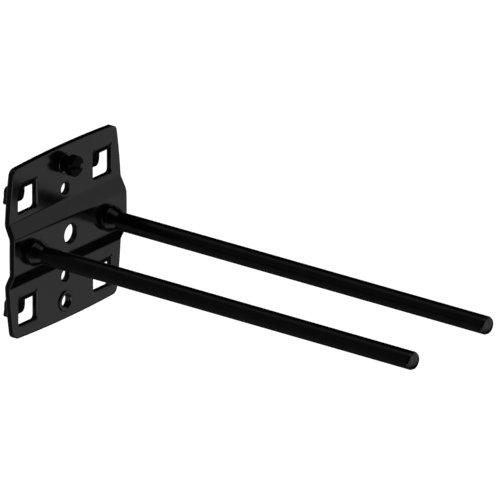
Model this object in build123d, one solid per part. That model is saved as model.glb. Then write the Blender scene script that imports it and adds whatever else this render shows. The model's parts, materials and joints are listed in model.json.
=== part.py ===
from build123d import *
import os
from math import pi, radians, tan

# Double hook for a perforated tool panel, in millimetres.
# X runs to the right along the panel, Y runs into it and Z runs up. The plate's back lies
# in the plane Y = 0, and the two prongs reach out along -Y. Sections are drawn by (y, z),
# and turned pieces by (radius, y) before they are moved to their axis.

# Panel that the hook hangs on
panel_pitch = 38.0          # spacing of the panel's square holes, across and up
panel_gap = 2.5             # room for the panel behind the plate

# Base plate
sheet = 2.0                 # thickness of the steel
side_margin = 9.6           # from the tongues' centre line to the widest point of the side
end_margin = 10.3           # from the panel grid's line to the highest point of the end
side_bulge = 2.6            # how far the side bows out past its corners
end_bulge = 0.75            # how far the end bows out past its corners
corner_radius = 2.4

# Raised band across the plate
band_height = 2.15          # how far the band stands out from the flaps
band_land = 0.5             # flat left under the prongs' shoulders
band_slope_run = 4.4        # height of the sloping flank, between its corners
band_bend_radius = 2.5      # inside radius of its four bends

# Tongues lanced out of the plate and bent behind the panel
tongue_width = 8.2
tongue_lip = 5.6            # reach of the lip below the seat
tongue_corner_radius = 1.25
tongue_seat_rise = 1.1      # seat above the panel grid's line
tongue_seat_flat = 0.1      # flat of the seat between its two bends
tongue_root = 1.0           # overlap of the tongue with the plate above its window
lead_in_length = 2.8        # end of the lip that leans away from the panel
lead_in_angle = 10.0
lance_clearance = 0.5       # slit on each side of the tongue
window_corner_radius = 1.3
window_edge_break = 0.35    # front edge of the window, drawn in by the lancing
neutral_factor = 0.33       # neutral line of a bend, as a share of the sheet

# Holes on the plate's centre line
centre_hole_diameter = 6.5
fixing_hole_diameter = 4.2
fixing_to_insert = 8.6      # from a fixing hole to the insert beyond it
insert_to_end = 5.95        # from an insert to the plate's end

# Prongs
prong_spacing = 38.0
prong_diameter = 6.0
prong_drop = 0.4            # prongs below the plate's middle
prong_reach = 152.0         # from the band's face to the tip
prong_tip_width = 0.6       # ring of the broken edge at the tip
prong_tip_length = 0.35     # length of the broken edge at the tip
shoulder_width = 1.4        # ring around the rod at the shoulder's widest
shoulder_swell = 0.4        # how far the shoulder swells past its two ends
shoulder_length = 2.7       # swelling part of the shoulder
shoulder_taper = 2.3        # cone from the shoulder to the rod
spigot_diameter = 5.0
spigot_clearance = 0.05
rivet_head_width = 1.6      # ring around the spigot at the riveted head
rivet_head_height = 1.4
rivet_rim = 0.4             # straight rim of the riveted head

# Threaded inserts
thread_bore_diameter = 4.2  # core of the M5 thread
insert_wall = 0.8           # wall of the barrel in the plate
insert_flange_width = 0.6   # ring of the flange around the barrel
insert_flange_height = 0.5
insert_flange_edge = 0.15
insert_mouth_chamfer = 0.4
insert_clearance = 0.03

# Locking screw
screw_running_clearance = 0.05
screw_neck = 1.6            # between the insert's flange and the screw's head
screw_head_ring = 1.35      # ring of the head around the shank
screw_head_length = 2.8
screw_head_edge = 0.3
screw_slot_width = 1.6
screw_slot_depth = 1.2
screw_slot_turn = -12.0     # slot's angle from level, seen from the front
screw_tip_setback = 0.2     # tip inside the plate's back
screw_tip_chamfer = 0.4

# Values that follow from those above
prong_radius = prong_diameter / 2
shoulder_radius = prong_radius + shoulder_width
spigot_radius = spigot_diameter / 2
half_width = panel_pitch / 2 + side_margin
half_height = panel_pitch / 2 + end_margin
insert_z = half_height - insert_to_end
fixing_z = insert_z - fixing_to_insert
band_front = band_height + sheet
band_half = prong_drop + shoulder_radius + band_land
tongue_bend_radius = (panel_gap - tongue_seat_flat) / 2
seat_to_root = tongue_bend_radius + sheet
thread_bore_radius = thread_bore_diameter / 2
barrel_radius = thread_bore_radius + insert_wall
insert_front = sheet + insert_flange_height


def sheet_strip(corners, inner_radius):
    """Section of a bent strip of the sheet, whose mid-line runs through the corners."""
    points = [Vector(*corner) for corner in corners]
    runs = [(b - a).normalized() for a, b in zip(points, points[1:])]
    lefts = [run.rotate(Axis.Z, 90) for run in runs]
    sides = []
    for side in (1, -1):
        outline = [points[0] + lefts[0] * (side * sheet / 2)]
        bend_radii = []
        for corner, before, after in zip(points[1:-1], lefts, lefts[1:]):
            mitre = (before + after).normalized()
            outline.append(corner + mitre * (side * sheet / 2 / mitre.dot(before)))
            turns_left = before.cross(after).Z > 0
            is_inside = turns_left == (side > 0)
            bend_radii.append(inner_radius if is_inside else inner_radius + sheet)
        outline.append(points[-1] + lefts[-1] * (side * sheet / 2))
        sides.append(FilletPolyline(*outline, radius=bend_radii))
    ends = [Line(sides[0] @ end, sides[1] @ end) for end in (0, 1)]
    return make_face(sides[0].edges() + sides[1].edges() + ends)


def along_wall(sketch, depth):
    """Front-view sketch, made into a solid that reaches the depth to both sides of Y = 0."""
    return extrude(Plane.XZ * sketch, depth, both=True)


def plate_outline():
    """Front view of the plate: a square with bowed sides and rounded corners."""
    x = half_width - side_bulge
    z = half_height - end_bulge
    outline = make_face([
        ThreePointArc((-x, z), (0, half_height), (x, z)),
        ThreePointArc((x, z), (half_width, 0), (x, -z)),
        ThreePointArc((x, -z), (0, -half_height), (-x, -z)),
        ThreePointArc((-x, -z), (-half_width, 0), (-x, z)),
    ])
    return fillet(outline.vertices(), corner_radius)


def pressed_plate():
    """Sheet with the raised band across it, cut to the outline."""
    middle = sheet / 2
    slope = Vector(band_slope_run, band_height).get_angle(Vector(1, 0))
    band_corner = band_half + (band_bend_radius + middle) * tan(radians(slope) / 2)
    flap_corner = band_corner + band_slope_run
    section = sheet_strip(
        [
            (-middle, half_height),
            (-middle, flap_corner),
            (-middle - band_height, band_corner),
            (-middle - band_height, -band_corner),
            (-middle, -flap_corner),
            (-middle, -half_height),
        ],
        band_bend_radius,
    )
    blank = extrude(Plane.YZ * section, half_width, both=True)
    return blank & along_wall(plate_outline(), 2 * band_front)


def tongue_seats():
    """Places of the four tongues, as the x of the centre line and the z of the seat."""
    grid = panel_pitch / 2
    return [(x, z + tongue_seat_rise) for x in (-grid, grid) for z in (grid, -grid)]


def tongue(x, seat_z):
    """Tongue that leaves the plate, crosses the panel and hangs down behind it."""
    middle = sheet / 2
    lip_y = panel_gap + middle
    lip_end = seat_z - tongue_lip
    lean = lead_in_length * tan(radians(lead_in_angle))
    section = sheet_strip(
        [
            (-middle, seat_z + seat_to_root + tongue_root),
            (-middle, seat_z + middle),
            (lip_y, seat_z + middle),
            (lip_y, lip_end + lead_in_length),
            (lip_y + lean, lip_end),
        ],
        tongue_bend_radius,
    )
    strip = Pos(X=x) * extrude(Plane.YZ * section, tongue_width / 2, both=True)
    height = tongue_lip + seat_to_root + tongue_root
    front = Pos(x, lip_end + height) * Rectangle(tongue_width, 2 * height)
    front = fillet(front.vertices().group_by(Axis.Y)[0], tongue_corner_radius)
    return strip & along_wall(front, 2 * lip_y)


def window(x, seat_z):
    """Opening that the tongue leaves in the plate, as high as the tongue is long when flat."""
    bend = pi / 2 * (tongue_bend_radius + neutral_factor * sheet)
    flat_length = 2 * bend + tongue_seat_flat + tongue_lip - tongue_bend_radius
    width = tongue_width + 2 * lance_clearance
    top = seat_z + seat_to_root
    front = Pos(x, top - flat_length / 2) * Rectangle(width, flat_length)
    front = fillet(front.vertices(), window_corner_radius)
    return along_wall(front, 2 * band_front)


def round_hole(x, z, diameter):
    """Hole through the plate along Y."""
    return along_wall(Pos(x, z) * Circle(diameter / 2), 2 * band_front)


def window_edges(plate):
    """Edges of the windows on the front, without those that the tongues leave from."""
    flats = plate.faces().filter_by(lambda face: face.normal_at().Y < -0.99)
    rims = [wire for face in flats for wire in face.inner_wires()]
    roots = [seat_z + seat_to_root for _, seat_z in tongue_seats()]
    return [
        edge for rim in rims for edge in rim.edges()
        if all(abs(edge.center().Z - root) > 0.001 for root in roots)
    ]


def base_plate():
    """Pressed plate with its windows, tongues and holes."""
    plate = pressed_plate()
    for x, seat_z in tongue_seats():
        plate -= window(x, seat_z)
    plate = chamfer(window_edges(plate), window_edge_break)
    plate -= round_hole(0, 0, centre_hole_diameter)
    for z in (fixing_z, -fixing_z):
        plate -= round_hole(0, z, fixing_hole_diameter)
    for z in (insert_z, -insert_z):
        plate -= round_hole(0, z, 2 * (barrel_radius + insert_clearance))
    for x in (-prong_spacing / 2, prong_spacing / 2):
        plate -= round_hole(x, -prong_drop, spigot_diameter + 2 * spigot_clearance)
    for x, seat_z in tongue_seats():
        plate += tongue(x, seat_z)
    return plate


def turned(curves, x, z):
    """Solid turned about Y from the curves of a closed (radius, y) outline, moved to its axis."""
    profile = make_face([edge for curve in curves for edge in curve.edges()])
    return Pos(x, 0, z) * revolve(profile, Axis.Y)


def prong(x):
    """Rod with an upset shoulder on the band's face and a riveted head behind it."""
    head_radius = spigot_radius + rivet_head_width
    head_back = rivet_head_height - band_height
    foot_radius = shoulder_radius - shoulder_swell
    shoulder_end = band_front + shoulder_length
    tip = band_front + prong_reach
    back = Polyline(
        (0, head_back),
        (spigot_radius, head_back),
        (head_radius, rivet_rim - band_height),
        (head_radius, -band_height),
        (spigot_radius, -band_height),
        (spigot_radius, -band_front),
        (foot_radius, -band_front),
    )
    shoulder = ThreePointArc(
        (foot_radius, -band_front),
        (shoulder_radius, -band_front - shoulder_length / 2),
        (foot_radius, -shoulder_end),
    )
    front = Polyline(
        (foot_radius, -shoulder_end),
        (prong_radius, -shoulder_end - shoulder_taper),
        (prong_radius, prong_tip_length - tip),
        (prong_radius - prong_tip_width, -tip),
        (0, -tip),
        (0, head_back),
    )
    return turned([back, shoulder, front], x, -prong_drop)


def insert(z):
    """Threaded bush, flush with the plate's back and flanged on its front."""
    flange_radius = barrel_radius + insert_flange_width
    outline = Polyline(
        (thread_bore_radius, 0),
        (barrel_radius, 0),
        (barrel_radius, -sheet),
        (flange_radius, -sheet),
        (flange_radius, insert_flange_edge - insert_front),
        (flange_radius - insert_flange_edge, -insert_front),
        (thread_bore_radius + insert_mouth_chamfer, -insert_front),
        (thread_bore_radius, insert_mouth_chamfer - insert_front),
        close=True,
    )
    return turned([outline], 0, z)


def locking_screw(z):
    """Screw with a slotted round head, standing a little out of the insert."""
    shank_radius = thread_bore_radius - screw_running_clearance
    head_radius = shank_radius + screw_head_ring
    head_back = insert_front + screw_neck
    head_front = head_back + screw_head_length
    outline = Polyline(
        (0, -screw_tip_setback),
        (shank_radius - screw_tip_chamfer, -screw_tip_setback),
        (shank_radius, -screw_tip_setback - screw_tip_chamfer),
        (shank_radius, -head_back),
        (head_radius - screw_head_edge, -head_back),
        (head_radius, -head_back - screw_head_edge),
        (head_radius, screw_head_edge - head_front),
        (head_radius - screw_head_edge, -head_front),
        (0, -head_front),
        close=True,
    )
    screw = turned([outline], 0, z)
    slot = Rot(Y=-screw_slot_turn) * Box(3 * head_radius, 2 * screw_slot_depth, screw_slot_width)
    return screw - Pos(0, -head_front, z) * slot


nodes = {
    "base_plate": base_plate(),
    "prong_left": prong(-prong_spacing / 2),
    "prong_right": prong(prong_spacing / 2),
    "insert_upper": insert(insert_z),
    "insert_lower": insert(-insert_z),
    "locking_screw": locking_screw(insert_z),
}

os.makedirs("parts", exist_ok=True)
for name, shape in nodes.items():
    export_step(shape, f"parts/{name}.step")
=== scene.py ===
import json
from math import asin, atan, cos, pi, radians, sin, tan

import bmesh
import bpy
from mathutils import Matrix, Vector


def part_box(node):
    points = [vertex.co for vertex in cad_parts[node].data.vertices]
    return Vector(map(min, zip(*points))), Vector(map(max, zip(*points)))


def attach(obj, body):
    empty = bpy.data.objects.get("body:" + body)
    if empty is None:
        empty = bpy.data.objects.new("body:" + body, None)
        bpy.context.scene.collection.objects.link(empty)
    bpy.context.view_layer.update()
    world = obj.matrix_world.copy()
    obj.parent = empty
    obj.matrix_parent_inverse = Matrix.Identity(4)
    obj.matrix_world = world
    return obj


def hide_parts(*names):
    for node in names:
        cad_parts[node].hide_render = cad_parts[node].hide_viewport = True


# Looks of the double hook: gloss black coat, matte screw, threads, crowned prongs, soft studio light.
# Lengths and places are in metres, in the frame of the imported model.

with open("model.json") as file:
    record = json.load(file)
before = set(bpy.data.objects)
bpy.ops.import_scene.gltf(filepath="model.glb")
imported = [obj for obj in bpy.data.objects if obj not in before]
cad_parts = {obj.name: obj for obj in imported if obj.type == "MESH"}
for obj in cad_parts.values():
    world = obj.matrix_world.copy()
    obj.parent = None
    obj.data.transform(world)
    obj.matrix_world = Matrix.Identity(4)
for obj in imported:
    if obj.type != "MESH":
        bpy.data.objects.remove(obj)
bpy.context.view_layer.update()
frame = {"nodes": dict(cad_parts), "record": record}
mounts = {mount["name"]: mount for mount in frame["record"]["mounts"]}

MM = 0.001

# View of the photograph, which is square and nearly a parallel projection
IMAGE_PIXELS = 500
PIXELS_PER_METRE = 3180
ORIGIN_PIXEL = (59.48, 230.62)      # where the part's origin lies in the image
VIEW_TURN = 52.02                   # degrees round to the left of the front
VIEW_RISE = 21.37                   # degrees above the horizon
VIEW_FOCUS = 0.0364                 # the image's scale holds this far in front of the origin
VIEW_END = 100                      # the camera sees nothing beyond this distance
LENS = 1600                         # long lens, in millimetres of focal length
SENSOR = 36                         # width of the camera's sensor, in millimetres

# Gloss black coat, which runs thin over the edges and rounds them
COAT_DARK = (0.0016, 0.0017, 0.0018)
COAT_PALE = (0.0026, 0.0027, 0.0028)
COAT_ROUGHNESS = (0.14, 0.18)
COAT_IOR = 1.5
COAT_WAVE = 5e-6                    # height of the waves that its flow leaves
COAT_GRAIN = 0.25e-6                # height of its fine grain
CUT_EDGE_ROUND = 0.7 * MM           # on pressed and cut sheet
TURNED_EDGE_ROUND = 0.3 * MM        # on turned pieces
EDGE_SAMPLES = 8

# Matte black oxide of the screw
OXIDE_DARK = (0.0005, 0.0005, 0.0005)
OXIDE_PALE = (0.0010, 0.0010, 0.0010)
OXIDE_ROUGHNESS = (0.38, 0.55)
OXIDE_SPECULAR = 0.06
OXIDE_GRAIN = 3e-6                  # height of its fine grain

# Ranges of a noise that are stretched over a whole range of values or of tones
NOISE_RANGE = (0.3, 0.7)
TONE_RANGE = (0.35, 0.65)

# Stage, with its floor below every place of the camera, so that the part can be seen from below too
FLOOR_DEPTH = 8.0
FLOOR_SIZE = 80.0
FLOOR_DARK = (0.88, 0.88, 0.88)
FLOOR_PALE = (0.90, 0.90, 0.90)
FLOOR_ROUGHNESS = 0.8
FLOOR_GLOW = 1.0
BACKDROP_GLOW = 1.2                 # of the white that only the camera sees
WHITE = (1, 1, 1, 1)

# Soft panels of light: direction, half-angle that is fully bright, half-angle where it ends, strength
PANELS = [
    ((0.74, -0.66, -0.06), 20, 34, 0.45),     # right front, mirrored by the plate and the prongs' ends
    ((0.73, -0.37, 0.57), 6, 20, 0.6),        # right front above, on edges that face up
    ((-0.55, -0.71, -0.36), 10, 32, 1.6),     # left front below, on edges that face left
    ((-0.05, 0.07, 1.0), 12, 30, 0.42),       # above, on the prongs' shoulders
    ((-0.68, 0.06, -0.73), 12, 28, 0.5),      # left below, on the prongs' shoulders
    ((-0.53, 0.85, 0.0), 50, 82, 0.06),       # behind on the left, along the prongs
    ((0.05, 0.6, 0.8), 6, 22, 0.09),          # behind above, along the prongs' tops
    ((0.0, 1.0, 0.0), 26, 40, 0.3),           # straight behind, on the plate's back
    ((0.70, 0.66, -0.28), 8, 22, 0.35),       # behind on the right, on the plate's back
    ((0.2, -0.93, -0.3), 16, 32, 0.42),       # front, on the crowned ends and the plate seen from there
    ((0.27, -0.42, -0.87), 10, 22, 0.4),      # front below, on the plate seen from above
    ((0.93, -0.1, 0.25), 10, 22, 0.4),        # right, on the sides that face there
]

# Meshes of the turned pieces; edges that bend by more than a crease, in degrees, stay sharp
ROUND_SEGMENTS = 96                 # columns round a piece
ARC_STEPS = 24                      # rows to an arc
THREAD_ROWS = 20                    # rows to one pitch
THREAD_CREASE = 35
PRONG_CREASE = 9

# Sizes of the prongs, as in the solids but for the crowned ends
SHOULDER_LENGTH = 2.7 * MM
SHOULDER_SWELL = 0.4 * MM
SHOULDER_TAPER = 2.3 * MM
SPIGOT_RADIUS = 2.5 * MM
RIVET_HEAD_WIDTH = 1.6 * MM
RIVET_HEAD_HEIGHT = 1.4 * MM
RIVET_RIM = 0.4 * MM
CROWN_HEIGHT = 0.45 * MM
CROWN_EDGE = 0.35 * MM              # ring of the tapered edge round the crown
CROWN_TAPER = 0.7 * MM              # length of that edge

# Sizes of the inserts and the screw, as in the solids
INSERT_WALL = 0.8 * MM
INSERT_FLANGE_HEIGHT = 0.5 * MM
INSERT_FLANGE_EDGE = 0.15 * MM
INSERT_MOUTH = 0.4 * MM
SCREW_HEAD_LENGTH = 2.8 * MM

# Thread of the screw and its inserts
THREAD_PITCH = 0.8 * MM
THREAD_DEPTH = 0.4 * MM
CREST_FLAT = 1 / 8                  # widths of crest and root, as shares of the pitch
ROOT_FLAT = 1 / 4
THREAD_FADE = 0.3 * MM              # run-out at each end of the screw's thread
THREAD_SINK = 0.15 * MM             # how far the thread's ring reaches into the shank
THREAD_GAP = 0.05 * MM              # between the thread and the insert or the head


def node_material(name):
    """New material, with its node tree and its surface shader."""
    material = bpy.data.materials.new(name)
    material.use_nodes = True
    tree = material.node_tree
    return material, tree, tree.nodes["Principled BSDF"]


def noise(tree, scale, detail, roughness=0.5):
    """Noise in the object's own metres, with so many features to a metre."""
    place = tree.nodes.new("ShaderNodeTexCoord")
    texture = tree.nodes.new("ShaderNodeTexNoise")
    texture.inputs["Scale"].default_value = scale
    texture.inputs["Detail"].default_value = detail
    texture.inputs["Roughness"].default_value = roughness
    tree.links.new(place.outputs["Object"], texture.inputs["Vector"])
    return texture.outputs["Fac"]


def spread(tree, factor, low, high):
    """Noise stretched to run from low to high."""
    stretch = tree.nodes.new("ShaderNodeMapRange")
    stretch.inputs["From Min"].default_value = NOISE_RANGE[0]
    stretch.inputs["From Max"].default_value = NOISE_RANGE[1]
    stretch.inputs["To Min"].default_value = low
    stretch.inputs["To Max"].default_value = high
    tree.links.new(factor, stretch.inputs["Value"])
    return stretch.outputs["Result"]


def tones(tree, factor, dark, pale):
    """Two colours mixed by a noise."""
    ramp = tree.nodes.new("ShaderNodeValToRGB")
    for element, position, colour in zip(ramp.color_ramp.elements, TONE_RANGE, (dark, pale)):
        element.position = position
        element.color = (*colour, 1)
    tree.links.new(factor, ramp.inputs["Fac"])
    return ramp.outputs["Color"]


def bump(tree, height, depth, under=None):
    """Normal of a surface whose height varies by the depth, in metres."""
    node = tree.nodes.new("ShaderNodeBump")
    node.inputs["Strength"].default_value = 1.0
    node.inputs["Distance"].default_value = depth
    tree.links.new(height, node.inputs["Height"])
    if under is not None:
        tree.links.new(under, node.inputs["Normal"])
    return node.outputs["Normal"]


def rounded_edges(tree, radius):
    """Normal of a surface whose sharp edges look rounded by the radius, in metres."""
    node = tree.nodes.new("ShaderNodeBevel")
    node.samples = EDGE_SAMPLES
    node.inputs["Radius"].default_value = radius
    return node.outputs["Normal"]


def gloss_black_coat(name, edge_round):
    """Smooth black coat, a little waved by its flow: nearly all of its tone is what it mirrors."""
    material, tree, surface = node_material(name)
    flow = noise(tree, scale=420, detail=1.5)
    haze = noise(tree, scale=150, detail=4)
    grain = noise(tree, scale=5200, detail=2)
    waved = bump(tree, flow, COAT_WAVE, rounded_edges(tree, edge_round))
    tree.links.new(tones(tree, haze, COAT_DARK, COAT_PALE), surface.inputs["Base Color"])
    tree.links.new(spread(tree, haze, *COAT_ROUGHNESS), surface.inputs["Roughness"])
    tree.links.new(bump(tree, grain, COAT_GRAIN, waved), surface.inputs["Normal"])
    surface.inputs["IOR"].default_value = COAT_IOR
    return material


def matte_black_oxide():
    """Dull black of the screw, a little mottled, with fine grain from its treatment."""
    material, tree, surface = node_material("matte_black_oxide")
    mottle = noise(tree, scale=900, detail=5, roughness=0.6)
    grain = noise(tree, scale=9000, detail=3)
    tree.links.new(tones(tree, mottle, OXIDE_DARK, OXIDE_PALE), surface.inputs["Base Color"])
    tree.links.new(spread(tree, mottle, *OXIDE_ROUGHNESS), surface.inputs["Roughness"])
    tree.links.new(bump(tree, grain, OXIDE_GRAIN), surface.inputs["Normal"])
    surface.inputs["Specular IOR Level"].default_value = OXIDE_SPECULAR
    return material


def floor_material():
    """Plain pale floor, bright enough to read as white."""
    material, tree, surface = node_material("pale_floor")
    shade = noise(tree, scale=3, detail=2)
    tree.links.new(tones(tree, shade, FLOOR_DARK, FLOOR_PALE), surface.inputs["Base Color"])
    surface.inputs["Roughness"].default_value = FLOOR_ROUGHNESS
    surface.inputs["Emission Color"].default_value = WHITE
    surface.inputs["Emission Strength"].default_value = FLOOR_GLOW
    return material


def round_mesh(name, rings, centre, crease, hollow=True):
    """Body about Y through the centre, from rings of (y, radius by angle).

    The rings run once round its section, or, where it isn't hollow, from one flat end to the other.
    """
    mesh = bmesh.new()
    rows = []
    for y, radius_at in rings:
        row = []
        for step in range(ROUND_SEGMENTS):
            angle = 2 * pi * step / ROUND_SEGMENTS
            radius = radius_at(angle)
            x = centre.x + radius * sin(angle)
            z = centre.z + radius * cos(angle)
            row.append(mesh.verts.new((x, y, z)))
        rows.append(row)
    next_rows = rows[1:] + rows[:1] if hollow else rows[1:]
    for row, next_row in zip(rows, next_rows):
        for step in range(ROUND_SEGMENTS):
            right = (step + 1) % ROUND_SEGMENTS
            mesh.faces.new((row[step], row[right], next_row[right], next_row[step]))
    if not hollow:
        mesh.faces.new(rows[0])
        mesh.faces.new(rows[-1])
    bmesh.ops.recalc_face_normals(mesh, faces=mesh.faces)
    data = bpy.data.meshes.new(name)
    mesh.to_mesh(data)
    mesh.free()
    data.shade_smooth()
    data.set_sharp_from_angle(angle=radians(crease))
    piece = bpy.data.objects.new(name, data)
    bpy.context.scene.collection.objects.link(piece)
    return piece


def steady(radius):
    """Radius that is the same all round."""
    return lambda angle: radius


def thread_crest(y, angle):
    """Height of a right-hand thread along Y, from 0 at the root to 1 at the crest."""
    from_crest = abs((y / THREAD_PITCH - angle / (2 * pi)) % 1 - 0.5)
    flank_start = CREST_FLAT / 2
    flank_end = 0.5 - ROOT_FLAT / 2
    return min(1, max(0, (flank_end - from_crest) / (flank_end - flank_start)))


def thread_rows(start, end):
    """Places along Y of the mesh rows of a thread."""
    count = round(abs(end - start) / THREAD_PITCH * THREAD_ROWS)
    return [start + (end - start) * row / count for row in range(count + 1)]


def screw_thread(material):
    """Thread on the neck of the screw, between the insert and the screw's head."""
    insert_low, insert_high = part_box("insert_upper")
    centre = (insert_low + insert_high) / 2
    core = mounts["lower_thread"]["dims"]["r_mm"] * MM - THREAD_GAP
    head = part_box("locking_screw")[0].y + SCREW_HEAD_LENGTH
    near = head + THREAD_GAP
    far = insert_low.y - THREAD_GAP

    def radius_at(y):
        fade = min(1, (y - near) / THREAD_FADE, (far - y) / THREAD_FADE)
        return lambda angle: core + THREAD_DEPTH * fade * thread_crest(y, angle)

    rings = [(near, steady(core - THREAD_SINK))]
    rings += [(y, radius_at(y)) for y in thread_rows(near, far)]
    rings += [(far, steady(core - THREAD_SINK))]
    piece = round_mesh("screw_thread", rings, centre, THREAD_CREASE)
    piece.data.materials.append(material)
    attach(piece, "screw")


def threaded_insert(node, material):
    """Flanged bush with its inner thread cut, in place of the plain one."""
    low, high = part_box(node)
    centre = (low + high) / 2
    flange = (high.x - low.x) / 2
    core = mounts["lower_thread"]["dims"]["r_mm"] * MM
    flange_back = low.y + INSERT_FLANGE_HEIGHT
    barrel = core + INSERT_WALL

    def bore_at(y):
        mouth = core + INSERT_MOUTH - (y - low.y)
        return lambda angle: max(mouth, core + THREAD_DEPTH * thread_crest(y, angle))

    rings = [(y, bore_at(y)) for y in thread_rows(high.y, low.y)]
    rings += [
        (low.y, steady(flange - INSERT_FLANGE_EDGE)),
        (low.y + INSERT_FLANGE_EDGE, steady(flange)),
        (flange_back, steady(flange)),
        (flange_back, steady(barrel)),
        (high.y, steady(barrel)),
    ]
    piece = round_mesh(f"{node}_threaded", rings, centre, THREAD_CREASE)
    piece.data.materials.append(material)
    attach(piece, "hook")
    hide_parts(node)


def arc_points(chord, rise):
    """Points (along, height) of an arc on its chord, from one end to the other."""
    radius = (chord ** 2 / 4 + rise ** 2) / (2 * rise)
    half_angle = asin(chord / 2 / radius)
    angles = [half_angle * (2 * step / ARC_STEPS - 1) for step in range(ARC_STEPS + 1)]
    return [(radius * sin(angle), radius * (cos(angle) - 1) + rise) for angle in angles]


def crowned_prong(node, material):
    """Prong with its end crowned, in place of the one with a flat end."""
    low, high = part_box(node)
    centre = (low + high) / 2
    rod = mounts[node]["dims"]["r_mm"] * MM
    foot = (high.x - low.x) / 2 - SHOULDER_SWELL
    head = SPIGOT_RADIUS + RIVET_HEAD_WIDTH
    crown = rod - CROWN_EDGE
    band_back = high.y - RIVET_HEAD_HEIGHT
    band_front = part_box("base_plate")[0].y
    shoulder_middle = band_front - SHOULDER_LENGTH / 2
    shoulder_end = band_front - SHOULDER_LENGTH
    crown_foot = low.y + CROWN_HEIGHT
    shoulder_arc = arc_points(SHOULDER_LENGTH, SHOULDER_SWELL)
    crown_arc = arc_points(2 * crown, CROWN_HEIGHT)[:ARC_STEPS // 2]
    outline = [
        (high.y, SPIGOT_RADIUS),
        (band_back + RIVET_RIM, head),
        (band_back, head),
        (band_back, SPIGOT_RADIUS),
        (band_front, SPIGOT_RADIUS),
        *((shoulder_middle - along, foot + height) for along, height in shoulder_arc),
        (shoulder_end - SHOULDER_TAPER, rod),
        (crown_foot + CROWN_TAPER, rod),
        *((crown_foot - height, -along) for along, height in crown_arc),
    ]
    rings = [(y, steady(radius)) for y, radius in outline]
    piece = round_mesh(f"{node}_crowned", rings, centre, PRONG_CREASE, hollow=False)
    piece.data.materials.append(material)
    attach(piece, "hook")
    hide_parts(node)


def add_floor():
    """Pale floor well below the part, which its gloss doesn't mirror."""
    half = FLOOR_SIZE / 2
    data = bpy.data.meshes.new("floor")
    corners = [(-half, -half), (half, -half), (half, half), (-half, half)]
    data.from_pydata([(x, y, -FLOOR_DEPTH) for x, y in corners], [], [(0, 1, 2, 3)])
    data.materials.append(floor_material())
    floor = bpy.data.objects.new("floor", data)
    floor.visible_glossy = False
    bpy.context.scene.collection.objects.link(floor)


def light_panel(tree, direction, towards, bright_within, dark_beyond, strength):
    """Glow of a round soft panel of light, with its half-angles in degrees."""
    facing = tree.nodes.new("ShaderNodeVectorMath")
    facing.operation = "DOT_PRODUCT"
    facing.inputs[1].default_value = Vector(towards).normalized()
    tree.links.new(direction, facing.inputs[0])
    edge = tree.nodes.new("ShaderNodeMapRange")
    edge.interpolation_type = "SMOOTHSTEP"
    edge.inputs["From Min"].default_value = cos(radians(dark_beyond))
    edge.inputs["From Max"].default_value = cos(radians(bright_within))
    edge.inputs["To Min"].default_value = 0
    edge.inputs["To Max"].default_value = strength
    tree.links.new(facing.outputs["Value"], edge.inputs["Value"])
    return edge.outputs["Result"]


def add_studio():
    """White to the camera; for the part, soft panels of light around a dark room."""
    world = bpy.data.worlds.new("studio")
    bpy.context.scene.world = world
    world.use_nodes = True
    tree = world.node_tree
    direction = tree.nodes.new("ShaderNodeTexCoord").outputs["Generated"]

    glows = [light_panel(tree, direction, *settings) for settings in PANELS]
    light = glows[0]
    for glow in glows[1:]:
        total = tree.nodes.new("ShaderNodeMath")
        total.operation = "ADD"
        tree.links.new(light, total.inputs[0])
        tree.links.new(glow, total.inputs[1])
        light = total.outputs["Value"]
    room = tree.nodes["Background"]
    room.inputs["Color"].default_value = WHITE
    tree.links.new(light, room.inputs["Strength"])

    backdrop = tree.nodes.new("ShaderNodeBackground")
    backdrop.inputs["Color"].default_value = WHITE
    backdrop.inputs["Strength"].default_value = BACKDROP_GLOW
    path = tree.nodes.new("ShaderNodeLightPath")
    mix = tree.nodes.new("ShaderNodeMixShader")
    tree.links.new(path.outputs["Is Camera Ray"], mix.inputs["Fac"])
    tree.links.new(room.outputs["Background"], mix.inputs[1])
    tree.links.new(backdrop.outputs["Background"], mix.inputs[2])
    tree.links.new(mix.outputs["Shader"], tree.nodes["World Output"].inputs["Surface"])


def add_camera():
    """Long lens on the photograph's side of the part, framed as the photograph is."""
    turn = radians(VIEW_TURN)
    rise = radians(VIEW_RISE)
    back = Vector((-sin(turn) * cos(rise), -cos(turn) * cos(rise), sin(rise)))
    right = Vector((cos(turn), -sin(turn), 0))
    up = back.cross(right)
    middle = IMAGE_PIXELS / 2
    across = (middle - ORIGIN_PIXEL[0]) / PIXELS_PER_METRE
    above = (ORIGIN_PIXEL[1] - middle) / PIXELS_PER_METRE
    half_angle = atan(SENSOR / 2 / LENS)
    distance = middle / PIXELS_PER_METRE / tan(half_angle)
    data = bpy.data.cameras.new("camera")
    data.lens = LENS
    data.sensor_width = SENSOR
    data.clip_end = VIEW_END
    camera = bpy.data.objects.new("camera", data)
    camera.location = right * across + up * above + back * (VIEW_FOCUS + distance)
    camera.rotation_euler = (-back).to_track_quat("-Z", "Y").to_euler()
    bpy.context.scene.collection.objects.link(camera)
    bpy.context.scene.camera = camera


sheet_coat = gloss_black_coat("gloss_black_coat_on_sheet", CUT_EDGE_ROUND)
turned_coat = gloss_black_coat("gloss_black_coat_on_turned", TURNED_EDGE_ROUND)
oxide = matte_black_oxide()
looks = {"base_plate": sheet_coat, "locking_screw": oxide}
for name, node in frame["nodes"].items():
    node.material_slots[0].material = looks.get(name, turned_coat)

screw_thread(oxide)
for name in ("insert_upper", "insert_lower"):
    threaded_insert(name, turned_coat)
for name in ("prong_left", "prong_right"):
    crowned_prong(name, turned_coat)

add_floor()
add_studio()
add_camera()
bpy.context.scene.view_settings.view_transform = "Standard"
